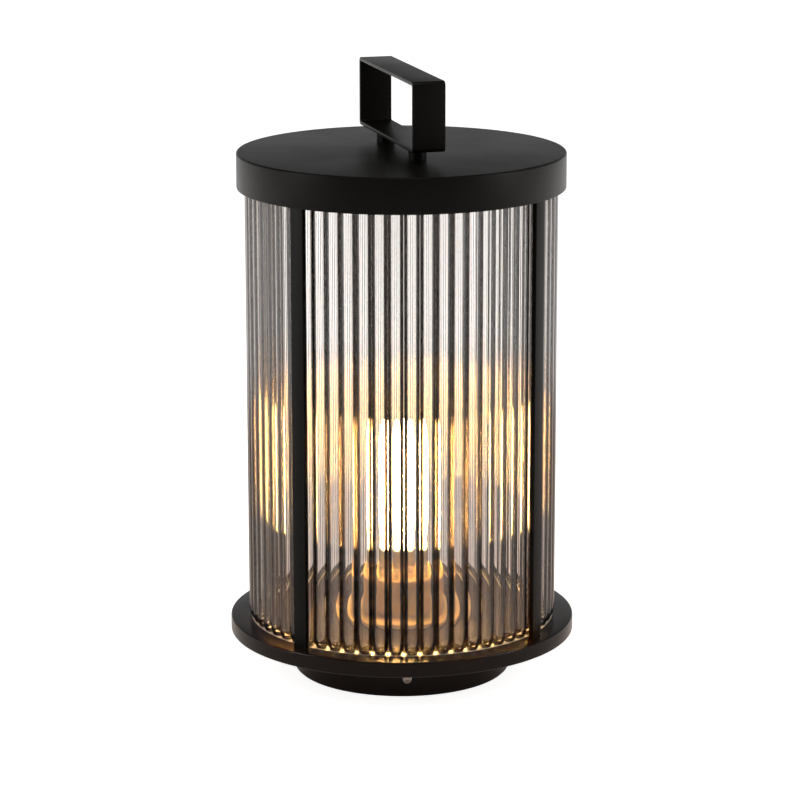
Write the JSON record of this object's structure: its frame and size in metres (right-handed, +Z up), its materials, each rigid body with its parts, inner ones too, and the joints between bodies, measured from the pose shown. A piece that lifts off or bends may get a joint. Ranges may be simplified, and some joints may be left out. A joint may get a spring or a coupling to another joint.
{
  "type": "lantern floor lamp",
  "caption": "Cylindrical lantern lamp: a ring of clear glass tubes between a round base and a shallow cap with a flat-bar carrying handle, lit by one screw-in bulb.",
  "frame": {"origin": "centre of the circle that the foot stands on", "axes": "+Z up, the handle's length lies along Y, the cable inlet faces +Y"},
  "size_m": [0.269, 0.269, 0.4726],
  "materials": {
    "powder_black": "fine-textured matt powder coat",
    "powder_umber": "smooth satin powder coat",
    "clear_glass": "polished",
    "bulb_glass": "polished",
    "zinc_steel": "zinc plated",
    "frame_aluminium": "turned",
    "satin_stand": "satin plated",
    "black_rubber": "matt",
    "clear_silicone": "satin",
    "holder_bakelite": "moulded",
    "white_plastic": "moulded",
    "brass": "stamped",
    "nickel": "rolled",
    "filament": "phosphor coated",
    "filament_wire": "drawn wire"
  },
  "bodies": {
    "lamp": {"base_drum": "powder_umber", "base_plate": "powder_umber", "base_underplate": "powder_umber", "bottom_cover": "zinc_steel", "bridge_screws": "zinc_steel", "cable_grommet": "black_rubber", "cap_bridge_bar": "zinc_steel", "cap_shell": "powder_black", "cap_spacers": "zinc_steel", "cover_pillars": "zinc_steel", "cover_screws": "zinc_steel", "drum_mount_ring": "zinc_steel", "drum_screws": "powder_umber", "glass_tubes_front": "clear_glass", "glass_tubes_left": "clear_glass", "glass_tubes_rear": "clear_glass", "glass_tubes_right": "clear_glass", "handle_bosses": "powder_black", "handle_loop": "powder_black", "handle_screws": "zinc_steel", "holder_cup": "satin_stand", "holder_disc": "satin_stand", "lampholder_body": "holder_bakelite", "lampholder_contact": "brass", "lampholder_shell": "brass", "post_base_screws": "zinc_steel", "post_front_left": "powder_black", "post_front_right": "powder_black", "post_rear_left": "powder_black", "post_rear_right": "powder_black", "post_top_screws": "zinc_steel", "rubber_foot_ring": "black_rubber", "stem_nuts": "zinc_steel", "stem_spacer": "zinc_steel", "stem_tube": "zinc_steel", "terminal_block": "white_plastic", "tube_seat_ring": "clear_silicone", "upper_frame_ring": "frame_aluminium"},
    "bulb_thread": {"bulb_tip": "brass"},
    "bulb": {"bulb_insulator": "white_plastic", "bulb_screw_cap": "nickel", "bulb_glass": "bulb_glass", "bulb_stem": "bulb_glass", "bulb_filaments": "filament", "filament_wires": "filament_wire"}
  },
  "joints": [
    {"name": "bulb_lift", "type": "slide", "parent": "lamp", "child": "bulb_thread", "axis": [0, 0, 1], "range_m": [0, 0.01815]},
    {"name": "bulb_turn", "type": "hinge", "parent": "bulb_thread", "child": "bulb", "pos_m": [0, 0, 0.083], "axis": [0, 0, 1], "range_deg": [0, 1800]}
  ],
  "couplings": [
    {"joint": "bulb_turn", "follows": "bulb_lift", "rad_per_m": 1730.9}
  ]
}
